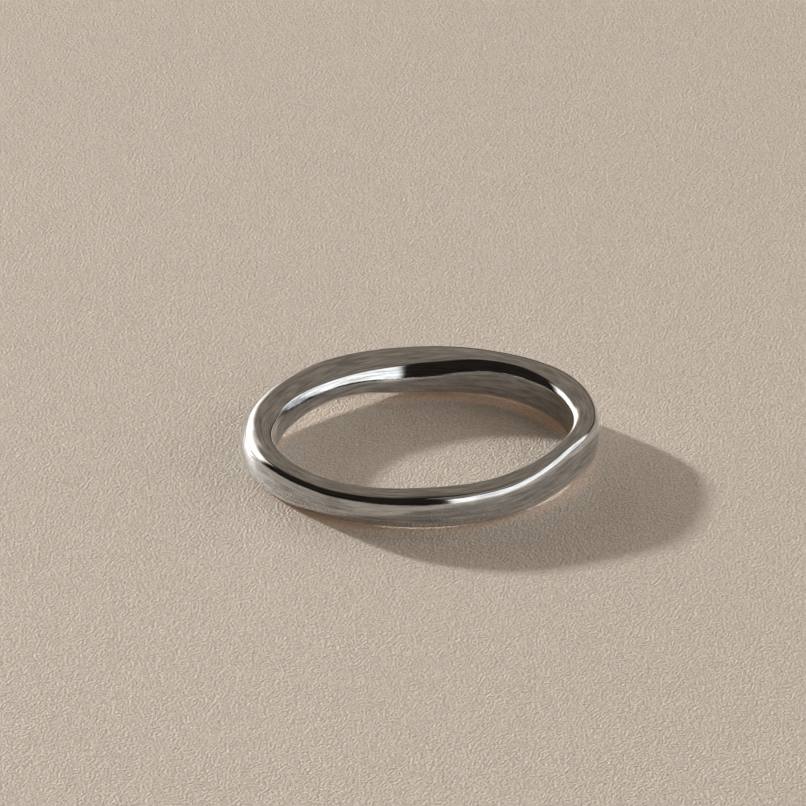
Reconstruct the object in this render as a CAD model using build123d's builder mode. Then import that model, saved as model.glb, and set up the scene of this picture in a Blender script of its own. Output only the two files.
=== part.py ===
from build123d import *

import os
from math import copysign, cos, pi, radians, sin, sqrt, tan

os.makedirs("parts", exist_ok=True)

# A hand-shaped wedding band: one solid ring of sterling silver with no joint and no setting.
# The finger hole is trued round on a mandrel. The outside was left as the maker shaped it,
# so wall, height and underside all wander softly from one part of the turn to the next.
#
# Frame: origin on the finger's axis, half way up the trued wall of the hole to within a tenth
# of a millimetre. +Z runs along the finger. The band lies on the plane z = -rest_depth, which it
# touches at its lowest places on the right and the left.

hole_radius = 8.65       # a 17.3 mm hole, close to the average adult ring size
true_cut = 0.07          # how far the inner crown stands proud before the hole is trued
rest_depth = 1.50        # from the finger hole's centre down to the plane the band rests on
corner_exponent = 3.0    # lower shoulders: 2 would be an ellipse, 6 almost a sharp rectangle
bevel_slope = tan(radians(22))
bevel_ease = 0.15        # rounds the line where the bevel leaves the wall of the hole
cap_ease = 0.20          # rounds the edge where the filed top meets the crown
outline_points = 16      # points that carry the rounded section
sections_per_hour = 4    # sections lofted between one hour of the clock face and the next

# The shape at the twelve hours of a clock face, counter-clockwise seen from above from +X.
# Each row: wall thickness, band height, lift of the underside above the resting plane, how far
# below the top the hole's upper bevel starts, how far the top slopes from one edge to the other
# (a positive slope makes the inner edge the lower one, a negative slope the outer edge), and the
# exponents of the upper outer and upper inner shoulder, which are rounder the closer to 2.
hours = [
    (1.60, 2.65, 0.00, 0.30, 0.00, 3.0, 3.0),
    (1.95, 2.75, 0.15, 0.60, 0.10, 3.0, 2.5),
    (2.00, 2.62, 0.28, 0.80, 0.10, 3.0, 2.0),
    (2.80, 2.50, 0.15, 1.25, 0.45, 3.0, 2.1),
    (2.80, 2.05, 0.55, 1.00, 0.50, 3.0, 3.0),
    (2.30, 2.05, 0.36, 0.90, 0.30, 2.7, 3.0),
    (1.95, 2.40, 0.02, 0.20, 0.00, 2.0, 3.0),
    (1.40, 2.35, 0.04, 0.00, -0.20, 2.3, 3.0),
    (1.30, 2.20, 0.15, 0.00, -0.35, 2.3, 3.0),
    (1.40, 2.35, 0.14, 0.00, -0.45, 2.2, 3.0),
    (1.35, 2.45, 0.07, 0.00, -0.40, 2.3, 3.0),
    (1.10, 2.65, 0.14, 0.00, -0.25, 2.5, 3.0),
]


def at_hour(time, column):
    """A column's value between the hours: a cubic that eases through the four nearest."""
    first = int(time)
    t = time - first
    a, b, c, d = [hours[(first + k) % len(hours)][column] for k in (-1, 0, 1, 2)]
    return b + t / 2 * (c - a + t * (2 * a - 5 * b + 4 * c - d + t * (3 * (b - c) + d - a)))


def eased(value, ease):
    """value where it is well above zero, zero where it is below, with a rounded corner."""
    return (value + sqrt(value * value + ease * ease)) / 2


def section_outline(width, height, bevel, slope, outer_shoulder, inner_shoulder):
    """Points of the section centred on its own plane: x outward from the finger, y up."""
    points = []
    for k in range(outline_points):
        a = 2 * pi * k / outline_points
        exponent = corner_exponent
        if sin(a) > 0:
            exponent = outer_shoulder if cos(a) > 0 else inner_shoulder
        x = width / 2 * copysign(abs(cos(a)) ** (2 / exponent), cos(a))
        y = height / 2 * copysign(abs(sin(a)) ** (2 / exponent), sin(a))
        inward = 0.5 - x / width
        cap = height / 2 - max(slope, 0) * inward + min(slope, 0) * (1 - inward)
        y = cap - eased(cap - y, cap_ease)
        opened = bevel_slope * eased(y - height / 2 + bevel, bevel_ease) - width / 2
        x = max(x, opened)
        points.append((x, y))
    return points


with BuildPart() as band:
    # Rounded sections round the clock face, each upright on a plane through the finger axis.
    sections = []
    for step in range(len(hours) * sections_per_hour):
        time = step / sections_per_hour
        wall, height, lift, *top_shape = [at_hour(time, column) for column in range(7)]
        turn = radians(360 / len(hours) * time)
        outward = (cos(turn), sin(turn), 0)
        along = (sin(turn), -cos(turn), 0)
        width = wall + true_cut
        middle = hole_radius - true_cut + width / 2
        level = lift + height / 2 - rest_depth
        section_plane = Plane(
            origin=(middle * cos(turn), middle * sin(turn), level),
            x_dir=outward,
            z_dir=along,
        )
        with BuildSketch(section_plane) as section:
            with BuildLine():
                Spline(section_outline(width, height, *top_shape), periodic=True)
            make_face()
        sections.append(section.sketch.face())

    # The band is lofted through all the sections and back to the first, so it closes on itself.
    loft(sections + sections[:1])

    # Truing on the mandrel leaves a round, straight wall along the middle of the hole.
    Cylinder(radius=hole_radius, height=4 * rest_depth, mode=Mode.SUBTRACT)

band.part.label = "band"
export_step(band.part, "parts/band.step")
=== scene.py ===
# %% [markdown]
# # A hand-shaped wedding band
# This lesson dresses a CAD model of one ring. The ring is a single closed band of sterling
# silver: no stone, no setting, no joint. Such a ring is cast, or bent from a thick bar and
# soldered. The hole is trued round on a mandrel, and the outside is filed, hammered and polished
# so that it wanders a little.
# Everything is in metres, in the CAD model's own frame: the finger goes along Z, and the middle
# of the finger hole is the origin.

# %% Load the frame
from math import copysign, cos, pi, radians, sin, sqrt, tan

import bpy
from mathutils import Matrix, Vector, noise


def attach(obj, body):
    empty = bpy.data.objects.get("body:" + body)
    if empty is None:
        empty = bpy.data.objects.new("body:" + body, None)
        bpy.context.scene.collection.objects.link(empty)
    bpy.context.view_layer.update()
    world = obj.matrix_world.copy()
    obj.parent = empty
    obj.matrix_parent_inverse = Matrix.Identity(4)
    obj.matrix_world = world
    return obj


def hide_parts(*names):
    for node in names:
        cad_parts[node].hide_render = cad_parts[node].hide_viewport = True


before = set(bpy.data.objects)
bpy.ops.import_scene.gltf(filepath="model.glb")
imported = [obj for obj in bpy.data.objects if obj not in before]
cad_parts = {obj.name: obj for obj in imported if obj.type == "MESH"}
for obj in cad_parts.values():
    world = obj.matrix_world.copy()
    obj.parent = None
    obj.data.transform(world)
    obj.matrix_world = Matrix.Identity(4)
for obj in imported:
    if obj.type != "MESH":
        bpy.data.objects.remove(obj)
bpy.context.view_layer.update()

# %% [markdown]
# ## The shape of the band
# A ring this small is seen from close up, and polished silver shows every facet, because a
# mirror doubles each change of slope. So the band isn't shown as the CAD program's triangles. It
# is drawn again as one even grid of four-sided faces. The grid is built the way a maker thinks of
# the ring: how thick, how high and how far off the table it is at each hour of a clock face.

# %% The clock face, in millimetres
HOLE_RADIUS = 8.65       # the finger hole, trued on a mandrel
REST_DEPTH = 1.50        # from the hole's centre down to the table
TRUE_CUT = 0.07          # how much of the inner crown the truing took off

# The first row is three o'clock, and the rows go on counter-clockwise. Each row: wall thickness,
# band height, lift of the underside off the table, how far below the top the hole's upper bevel
# starts, how far the filed top slopes from edge to edge (positive: the inner edge is the lower
# one), and the exponents of the upper outer and inner shoulders. Wall, height and lift were fitted
# by a program and rounded, some then changed. The other columns were set one by one.
HOURS = [
    (1.60, 2.65, 0.00, 0.30, 0.00, 3.0, 3.0),
    (1.95, 2.75, 0.15, 0.60, 0.10, 3.0, 2.5),
    (2.00, 2.62, 0.28, 0.80, 0.10, 3.0, 2.0),
    (2.80, 2.50, 0.15, 1.25, 0.45, 3.0, 2.1),
    (2.80, 2.05, 0.55, 1.00, 0.50, 3.0, 3.0),
    (2.30, 2.05, 0.36, 0.90, 0.30, 2.7, 3.0),
    (1.95, 2.40, 0.02, 0.20, 0.00, 2.0, 3.0),
    (1.40, 2.35, 0.04, 0.00, -0.20, 2.3, 3.0),
    (1.30, 2.20, 0.15, 0.00, -0.35, 2.3, 3.0),
    (1.40, 2.35, 0.14, 0.00, -0.45, 2.2, 3.0),
    (1.35, 2.45, 0.07, 0.00, -0.40, 2.3, 3.0),
    (1.10, 2.65, 0.14, 0.00, -0.25, 2.5, 3.0),
]


def at_hour(time, column):
    """A value between the hours, eased through the four nearest."""
    first = int(time // 1)
    t = time - first
    a, b, c, d = [HOURS[(first + k) % len(HOURS)][column] for k in (-1, 0, 1, 2)]
    return b + t / 2 * (c - a + t * (2 * a - 5 * b + 4 * c - d + t * (3 * (b - c) + d - a)))


print("wall at the thickest hour:", max(h[0] for h in HOURS), "mm")

# %% [markdown]
# The cross-section is a rectangle with crowned sides and soft shoulders. A superellipse gives
# that from one number: 2 is an ellipse, 3 is the shape files and emery sticks tend to leave.
# Two more strokes of the file change it. A sloping cut takes the crown off the top, and a bevel
# opens the upper edge of the hole at the back. Both meet the crown over an eased edge, because
# the polishing mop rounds whatever the file left sharp.

# %% The cross-section
CORNER_EXPONENT = 3.0    # the two lower shoulders
BEVEL_SLOPE = tan(radians(22))
CAP_EASE = 0.20          # mm over which the filed top meets the crown
BEVEL_EASE = 0.15        # mm over which the bevel leaves the wall of the hole
HOLE_EASE = 0.03         # mm over which the trued wall meets the crown


def section_point(turn, around):
    """A point of the band's skin in mm: turn is the angle round the finger, around the section."""
    hour = turn / (2 * pi) * len(HOURS)
    wall, height, lift, bevel, slope, outer_shoulder, inner_shoulder = [
        at_hour(hour, column) for column in range(len(HOURS[0]))
    ]
    exponent = CORNER_EXPONENT
    if sin(around) > 0:
        exponent = outer_shoulder if cos(around) > 0 else inner_shoulder
    out = copysign(abs(cos(around)) ** (2 / exponent), cos(around))
    up = copysign(abs(sin(around)) ** (2 / exponent), sin(around))

    width = wall + TRUE_CUT
    radius = HOLE_RADIUS - TRUE_CUT + width / 2 + width / 2 * out
    level = lift + height / 2 + height / 2 * up - REST_DEPTH

    top = lift + height - REST_DEPTH
    inward = (HOLE_RADIUS - TRUE_CUT + width - radius) / width
    cap = top - max(slope, 0) * inward + min(slope, 0) * (1 - inward)
    level = cap - soft_floor(cap - level, 0, CAP_EASE)
    opening = BEVEL_SLOPE * soft_floor(level - top + bevel, 0, BEVEL_EASE)
    return soft_floor(radius, HOLE_RADIUS + opening, HOLE_EASE), level


def soft_floor(value, floor, ease):
    """value where it is well above floor, floor where it is below, with an eased corner."""
    gap = value - floor
    return floor + (gap + sqrt(gap * gap + ease * ease)) / 2


print("skin at three o'clock, outermost:", [round(v, 3) for v in section_point(0, 0)])

# %% [markdown]
# Hand work leaves long, shallow dents that the polish follows. Smooth three-dimensional noise
# moves the skin in and out by a few hundredths of a millimetre, which is enough to make the
# reflections wander. The noise is fixed, so the same dents come out each time.

# %% Hand work
DENTS = [
    (2.6, 0.028),        # wavelength and depth in mm: the hammer and the file
    (1.1, 0.006),        # the emery stick
]
NOISE_START = Vector((31, 7, 5))         # where in the endless noise the band lies


def hand_work(point):
    """How far in mm the skin stands out or in at a point, from the maker's tools."""
    return sum(
        depth * noise.noise(point / wave + NOISE_START / wave) for wave, depth in DENTS
    )


print("dents at a first point, mm:", round(hand_work(Vector((HOLE_RADIUS, 0, 0))), 4))

# %% [markdown]
# The grid has one row of points for each half degree round the finger, and each row has enough
# points to carry the shoulders. A polished surface needs it that fine: the eye reads the slope
# between two faces from the jump in what they reflect.

# %% The grid of the skin
AROUND_FINGER = 720
AROUND_SECTION = 96


def skin_grid():
    """Rows of points, one row for each step round the finger, each a loop round the section."""
    rows = []
    for i in range(AROUND_FINGER):
        turn = 2 * pi * i / AROUND_FINGER
        row = []
        for k in range(AROUND_SECTION):
            radius, level = section_point(turn, 2 * pi * k / AROUND_SECTION)
            row.append(Vector((radius * cos(turn), radius * sin(turn), level)))
        rows.append(row)
    return rows


def with_hand_work(rows):
    """The same rows with each point moved along the skin's normal by the hand work there."""
    count, girth = len(rows), len(rows[0])
    moved = []
    for i in range(count):
        row = []
        for k in range(girth):
            along = rows[(i + 1) % count][k] - rows[i - 1][k]
            across = rows[i][(k + 1) % girth] - rows[i][k - 1]
            normal = along.cross(across).normalized()
            row.append(rows[i][k] + normal * hand_work(rows[i][k]))
        moved.append(row)
    return moved


rows = with_hand_work(skin_grid())
print("grid:", len(rows), "by", len(rows[0]), "points")

# %% [markdown]
# The grid closes on itself both ways, like a tyre, so the band is one piece with no seam and no
# cap, as the real one is. The texture coordinates are the skin rolled out flat in millimetres:
# along the band first, then across it, so that file and polish marks can follow the band.

# %% The band's mesh
MM = 0.001
SKIN_ACROSS = 8.0        # mm once round the section, near enough for polish marks


def band_mesh(rows):
    """One closed mesh through the grid, with its skin rolled out flat as texture coordinates."""
    count, girth = len(rows), len(rows[0])
    points = [p * MM for row in rows for p in row]
    faces = []
    for i in range(count):
        j = (i + 1) % count
        for k in range(girth):
            m = (k + 1) % girth
            faces.append((i * girth + k, j * girth + k, j * girth + m, i * girth + m))
    mesh = bpy.data.meshes.new("hand_shaped_band")
    mesh.from_pydata(points, [], faces)
    mesh.update()
    uv = mesh.uv_layers.new(name="unrolled_mm")
    lap = 2 * pi * HOLE_RADIUS
    for i in range(count):
        for k in range(girth):
            first = (i * girth + k) * 4
            corners = [(i, k), (i + 1, k), (i + 1, k + 1), (i, k + 1)]
            for n, (a, b) in enumerate(corners):
                uv.data[first + n].uv = (lap * a / count, SKIN_ACROSS * b / girth)
    mesh.shade_smooth()
    return mesh


band = bpy.data.objects.new("silver_band", band_mesh(rows))
bpy.context.scene.collection.objects.link(band)
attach(band, "root")
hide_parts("band")
print("faces:", len(band.data.polygons))

# %% [markdown]
# ## Colours and nodes
# Colours are written as the hex values a colour picker gives and turned to the linear values
# that Blender works with. One small function adds every node: it sets the settings, then sets or
# links each input. Another makes a soft step, for the glow on the paper and the edges of the room.

# %% Helpers for materials
def linear(hex_colour):
    """An sRGB hex colour as Blender's linear red, green, blue and full alpha."""
    channels = [int(hex_colour[k:k + 2], 16) / 255 for k in (1, 3, 5)]
    return [c / 12.92 if c <= 0.04045 else ((c + 0.055) / 1.055) ** 2.4 for c in channels] + [1.0]


def add(tree, kind, inputs=None, **settings):
    """Adds a node, sets its settings, and sets or links each of its inputs."""
    node = tree.nodes.new("ShaderNode" + kind)
    for name, value in settings.items():
        setattr(node, name, value)
    for name, value in (inputs or {}).items():
        if isinstance(value, bpy.types.NodeSocket):
            tree.links.new(value, node.inputs[name])
        else:
            node.inputs[name].default_value = value
    return node


def new_material(name):
    """An empty node material and its tree."""
    material = bpy.data.materials.new(name)
    material.use_nodes = True
    material.node_tree.nodes.clear()
    return material, material.node_tree


def soft_step(tree, value, zero_at, top_at, top=1.0):
    """A soft step from 0 to top as value goes from zero_at to top_at, either way round."""
    rising = zero_at < top_at
    step = add(tree, "MapRange", {
        "Value": value,
        "From Min": min(zero_at, top_at), "From Max": max(zero_at, top_at),
        "To Min": 0.0 if rising else top, "To Max": top if rising else 0.0,
    }, interpolation_type="SMOOTHSTEP")
    return step.outputs["Result"]


print("mid grey in linear light:", [round(c, 3) for c in linear("#808080")])

# %% [markdown]
# ## Sterling silver, hand polished
# Sterling is 92.5 % silver with copper. A hand polish leaves a mirror, but not a perfect one. The
# emery leaves fine lines that run along the band, and the mop leaves tiny pits. They scatter part
# of the light, so the metal is a little darker than fresh silver, and streaked along its length.
# One stretched noise tints the metal, varies the roughness and raises the lines. A second, fine
# one adds the pits. Real polish lines are finer than can be drawn from here, so the widest are
# drawn about a seventh of a millimetre apart, with finer ones between them.

# %% Silver
LINES_ALONG, LINES_ACROSS = 0.6, 7.0     # waves per mm along the band and across it
LINE_DETAIL = 6.0                        # times the lines split into finer ones
LINE_GRAIN = 0.65                        # how strong each finer set is
PITS_PER_METRE = 5500.0
PIT_DETAIL = 2.0
PIT_SHARE = 0.15                         # pits against lines in the relief
HAZE = (0.02, 0.09)                      # roughness, from the clearest to the haziest polish
DULL = (0.32, "#989A9B")                 # where in the noise, and the colour there
BRIGHT = (0.68, "#EAEDF0")
RELIEF_STRENGTH = 0.4
RELIEF_DEPTH = 0.00001                   # metres


def hand_polished_silver():
    """Polished sterling with polish lines along the band and fine pits."""
    material, tree = new_material("hand_polished_sterling_silver")
    unrolled = add(tree, "UVMap", uv_map="unrolled_mm")
    place = add(tree, "TexCoord")
    lines = add(tree, "Mapping", {
        "Vector": unrolled.outputs["UV"], "Scale": (LINES_ALONG, LINES_ACROSS, 1.0),
    })
    polish = add(tree, "TexNoise", {
        "Vector": lines.outputs["Vector"], "Scale": 1.0, "Detail": LINE_DETAIL,
        "Roughness": LINE_GRAIN,
    })
    pits = add(tree, "TexNoise", {
        "Vector": place.outputs["Object"], "Scale": PITS_PER_METRE, "Detail": PIT_DETAIL,
    })
    height = add(tree, "Math", {
        0: pits.outputs["Fac"], 1: PIT_SHARE, 2: polish.outputs["Fac"],
    }, operation="MULTIPLY_ADD")
    haze = add(tree, "MapRange", {
        "Value": polish.outputs["Fac"], "To Min": HAZE[0], "To Max": HAZE[1],
    })
    tone = add(tree, "ValToRGB", {"Fac": polish.outputs["Fac"]})
    dull, bright = tone.color_ramp.elements
    dull.position, dull.color = DULL[0], linear(DULL[1])
    bright.position, bright.color = BRIGHT[0], linear(BRIGHT[1])
    relief = add(tree, "Bump", {
        "Height": height.outputs[0], "Strength": RELIEF_STRENGTH, "Distance": RELIEF_DEPTH,
    })
    metal = add(tree, "BsdfPrincipled", {
        "Base Color": tone.outputs["Color"],
        "Metallic": 1.0,
        "Roughness": haze.outputs["Result"],
        "Normal": relief.outputs["Normal"],
    })
    add(tree, "OutputMaterial", {"Surface": metal.outputs["BSDF"]})
    return material


band.data.materials.append(hand_polished_silver())
print("material:", band.data.materials[0].name)

# %% [markdown]
# ## The sheet of paper
# The band lies on plain pale paper. Pressed cotton paper has a tooth: soft pits and fibres some
# tenths of a millimetre apart, which a low sun picks out. A fine noise gives it as relief, and as
# painted shade in the pits and painted light on the ridges, a change of tone that stands for the
# low sun on the tooth. The sheet also has a faint sheen when seen against the light. Close round
# its foot, the silver throws warm light back on the paper. That is drawn as a faint warm glow in
# a narrow ring, because light that bounces off a mirror takes very long to compute.

# %% Paper floor
FLOOR_HALF = 0.6                         # metres from the middle to the edge of the sheet
TOOTH_PER_METRE = 6500.0
TOOTH_DETAIL = 2.0
TOOTH_DEPTH = 0.00018                    # metres
# painted shade in the pits and painted light on the ridges of the paper's tooth
PAINTED_PIT_SHADE = (0.30, "#C8BDB2")             # where in the noise, and the colour there
PAINTED_RIDGE_LIGHT = (0.70, "#EBE0D4")
PAPER_ROUGHNESS = 0.55
SHEEN_LEVEL = 0.5
GLOW = 0.07
GLOW_COLOUR = "#FFC08C"
GLOW_RISE = (0.0083, 0.0089)             # metres from the finger's axis
GLOW_FALL = (0.0098, 0.0110)


def paper():
    """Uncoated cotton paper with a tooth, painted shade in its pits and a warm glow round the
    band's foot.
    """
    material, tree = new_material("uncoated_cotton_paper")
    place = add(tree, "TexCoord")
    tooth = add(tree, "TexNoise", {
        "Vector": place.outputs["Object"], "Scale": TOOTH_PER_METRE, "Detail": TOOTH_DETAIL,
    })
    relief = add(tree, "Bump", {
        "Height": tooth.outputs["Fac"], "Strength": 1.0, "Distance": TOOTH_DEPTH,
    })
    # the paper's colour is painted darker in the pits and lighter on the ridges: painted shade and
    # light of the low sun on the tooth, on top of the relief
    shade = add(tree, "ValToRGB", {"Fac": tooth.outputs["Fac"]})
    shaded_pit, lit_ridge = shade.color_ramp.elements
    shaded_pit.position, shaded_pit.color = PAINTED_PIT_SHADE[0], linear(PAINTED_PIT_SHADE[1])
    lit_ridge.position, lit_ridge.color = PAINTED_RIDGE_LIGHT[0], linear(PAINTED_RIDGE_LIGHT[1])
    apart = add(tree, "VectorMath", {0: place.outputs["Object"]}, operation="LENGTH")
    rise = soft_step(tree, apart.outputs["Value"], GLOW_RISE[0], GLOW_RISE[1], GLOW)
    fall = soft_step(tree, apart.outputs["Value"], GLOW_FALL[1], GLOW_FALL[0])
    glow = add(tree, "Math", {0: rise, 1: fall}, operation="MULTIPLY")
    sheet = add(tree, "BsdfPrincipled", {
        "Base Color": shade.outputs["Color"],
        "Roughness": PAPER_ROUGHNESS,
        "Specular IOR Level": SHEEN_LEVEL,
        "Emission Color": linear(GLOW_COLOUR),
        "Emission Strength": glow.outputs[0],
        "Normal": relief.outputs["Normal"],
    })
    add(tree, "OutputMaterial", {"Surface": sheet.outputs["BSDF"]})
    return material


table_level = -REST_DEPTH * MM
mesh = bpy.data.meshes.new("paper_floor")
square = [(-1, -1), (1, -1), (1, 1), (-1, 1)]
corners = [(x * FLOOR_HALF, y * FLOOR_HALF, table_level) for x, y in square]
mesh.from_pydata(corners, [], [(0, 1, 2, 3)])
floor = bpy.data.objects.new("paper_floor", mesh)
bpy.context.scene.collection.objects.link(floor)
floor.data.materials.append(paper())
print("paper at z =", round(table_level / MM, 2), "mm")

# %% [markdown]
# ## Light
# A low, soft sun from behind on the left gives the long shadow. Its disc is drawn about six times
# wider than the real sun's, as if seen through thin cloud, so the shadow's far edge is soft.

# %% Sun
SUN_HEADING = radians(131.2)
SUN_HEIGHT = radians(14.6)
SUN_POWER = 3.75
SUN_DISC = radians(3)
SUN_COLOUR = "#FFFEFA"


def aim(obj, target, roll=0.0):
    """Points an object's -Z at a target."""
    turn = (Vector(target) - obj.location).to_track_quat("-Z", "Y")
    obj.rotation_euler = (turn.to_matrix() @ Matrix.Rotation(roll, 3, "Z")).to_euler()


sun_lamp = bpy.data.lights.new("low_sun", "SUN")
sun_lamp.energy = SUN_POWER
sun_lamp.angle = SUN_DISC
sun_lamp.color = linear(SUN_COLOUR)[:3]
sun = bpy.data.objects.new("low_sun", sun_lamp)
sun.location = (
    cos(SUN_HEADING) * cos(SUN_HEIGHT), sin(SUN_HEADING) * cos(SUN_HEIGHT), sin(SUN_HEIGHT),
)
bpy.context.scene.collection.objects.link(sun)
aim(sun, (0, 0, 0))
print("sun:", round(SUN_HEIGHT * 180 / pi, 1), "degrees up")

# %% [markdown]
# A mirror shows the room as well as the lamp. This room is made up: its patches of light are set
# where the metal needs something to mirror. The band is bright where it faces a pale wall beside
# the window, grey where it faces the wall behind, white where it faces the bright sky round the
# sun, and nearly black where it faces the dark part of the room in front and on the left. Each
# patch has soft edges, a heading, a height and a colour.

# %% The room that the metal mirrors
DARK_COLOUR = "#5A5048"
DARK_RADIANCE = 0.20

# heading, half width, lowest, highest, softness (all in degrees), then colour and radiance
ROOM = [
    (-17, 57, -20, 38, 3, "#FDFCFA", 1.50),     # the bright wall beside the window
    (-17, 57, 38, 100, 3, "#8F877C", 1.00),     # the same wall, higher up
    (90, 50, 10, 66, 9, "#8B7F72", 0.95),       # the wall behind
    (124, 26, 2, 26, 5, "#FFF8EE", 2.00),       # the bright sky round the sun
]


def patch(tree, direction, heading, half_width, lowest, highest, soft, colour, radiance):
    """The light of one patch of the room, seen in a direction."""
    turned = add(tree, "VectorRotate", {
        "Vector": direction, "Axis": (0, 0, 1), "Angle": -radians(heading),
    }, rotation_type="AXIS_ANGLE")
    parts = add(tree, "SeparateXYZ", {"Vector": turned.outputs["Vector"]})
    angle = add(tree, "Math", {0: parts.outputs["Y"], 1: parts.outputs["X"]}, operation="ARCTAN2")
    aside = add(tree, "Math", {0: angle.outputs[0]}, operation="ABSOLUTE").outputs[0]
    height = add(tree, "Math", {0: parts.outputs["Z"]}, operation="ARCSINE").outputs[0]
    strength = radiance
    for value, zero_at, one_at in (
        (aside, half_width + soft, half_width - soft),
        (height, lowest - soft, lowest + soft),
        (height, highest + soft, highest - soft),
    ):
        mask = soft_step(tree, value, radians(zero_at), radians(one_at))
        product = add(tree, "Math", {0: mask, 1: strength}, operation="MULTIPLY")
        strength = product.outputs[0]
    light = add(tree, "Background", {"Color": linear(colour), "Strength": strength})
    return light.outputs["Background"]


world = bpy.data.worlds.new("dim_room")
bpy.context.scene.world = world
world.use_nodes = True
tree = world.node_tree
tree.nodes.clear()
direction = add(tree, "TexCoord").outputs["Generated"]
dark = add(tree, "Background", {"Color": linear(DARK_COLOUR), "Strength": DARK_RADIANCE})
total = dark.outputs["Background"]
for spot in ROOM:
    both = add(tree, "AddShader")
    tree.links.new(total, both.inputs[0])
    tree.links.new(patch(tree, direction, *spot), both.inputs[1])
    total = both.outputs[0]
add(tree, "OutputWorld", {"Surface": total})
print("room:", len(ROOM), "patches")

# %% [markdown]
# An even lamp overhead stands for the ceiling. It lights the paper and keeps the shadow open. It
# is kept out of reflections, because a flat disc of light would show in the metal as a shape that
# no room has.

# %% Ceiling
CEILING_POWER = 1.6
CEILING_SIZE = 1.6                       # metres across
CEILING_PLACE = (0, 0.1, 1.2)
CEILING_COLOUR = "#FFE6CC"

ceiling_lamp = bpy.data.lights.new("ceiling", "AREA")
ceiling_lamp.shape = "DISK"
ceiling_lamp.size = CEILING_SIZE
ceiling_lamp.energy = CEILING_POWER
ceiling_lamp.color = linear(CEILING_COLOUR)[:3]
ceiling = bpy.data.objects.new("ceiling", ceiling_lamp)
ceiling.location = CEILING_PLACE
ceiling.visible_glossy = False
bpy.context.scene.collection.objects.link(ceiling)
print("ceiling:", CEILING_SIZE, "m across,", CEILING_PLACE[2], "m up")

# %% [markdown]
# ## Camera
# A close look from 24 degrees above the table, through a long lens, with the band a little below
# the middle of the frame. The camera is tipped sideways by two degrees, as a hand-held one is. Its
# distance is a free choice: from further off, a ring this small would look nearly the same.

# %% Camera
LOOK_DOWN = radians(24.1)
DISTANCE = 0.450                         # metres from the lens to the middle of the band
ROLL = radians(-2.03)
SENSOR = 36.0                            # mm
IN_VIEW = 47.02                          # mm of the table across the frame
ASIDE, ABOVE = 1.10, 3.37                # mm from the band's middle to the middle of the frame
NEAREST = 0.01                           # metres from the lens, the nearest that is drawn

camera_data = bpy.data.cameras.new("close_camera")
camera_data.sensor_width = SENSOR
camera_data.lens = SENSOR * DISTANCE / MM / IN_VIEW
camera_data.clip_start = NEAREST
camera = bpy.data.objects.new("close_camera", camera_data)
bpy.context.scene.collection.objects.link(camera)
right = Vector((1, 0, 0))
upward = Vector((0, sin(LOOK_DOWN), cos(LOOK_DOWN)))
target = Vector((0, 0, table_level)) - right * ASIDE * MM + upward * ABOVE * MM
camera.location = target + Vector((0, -cos(LOOK_DOWN), sin(LOOK_DOWN))) * DISTANCE
aim(camera, target, ROLL)
bpy.context.scene.camera = camera
bpy.context.scene.view_settings.view_transform = "Standard"

print("lens:", round(camera_data.lens), "mm")
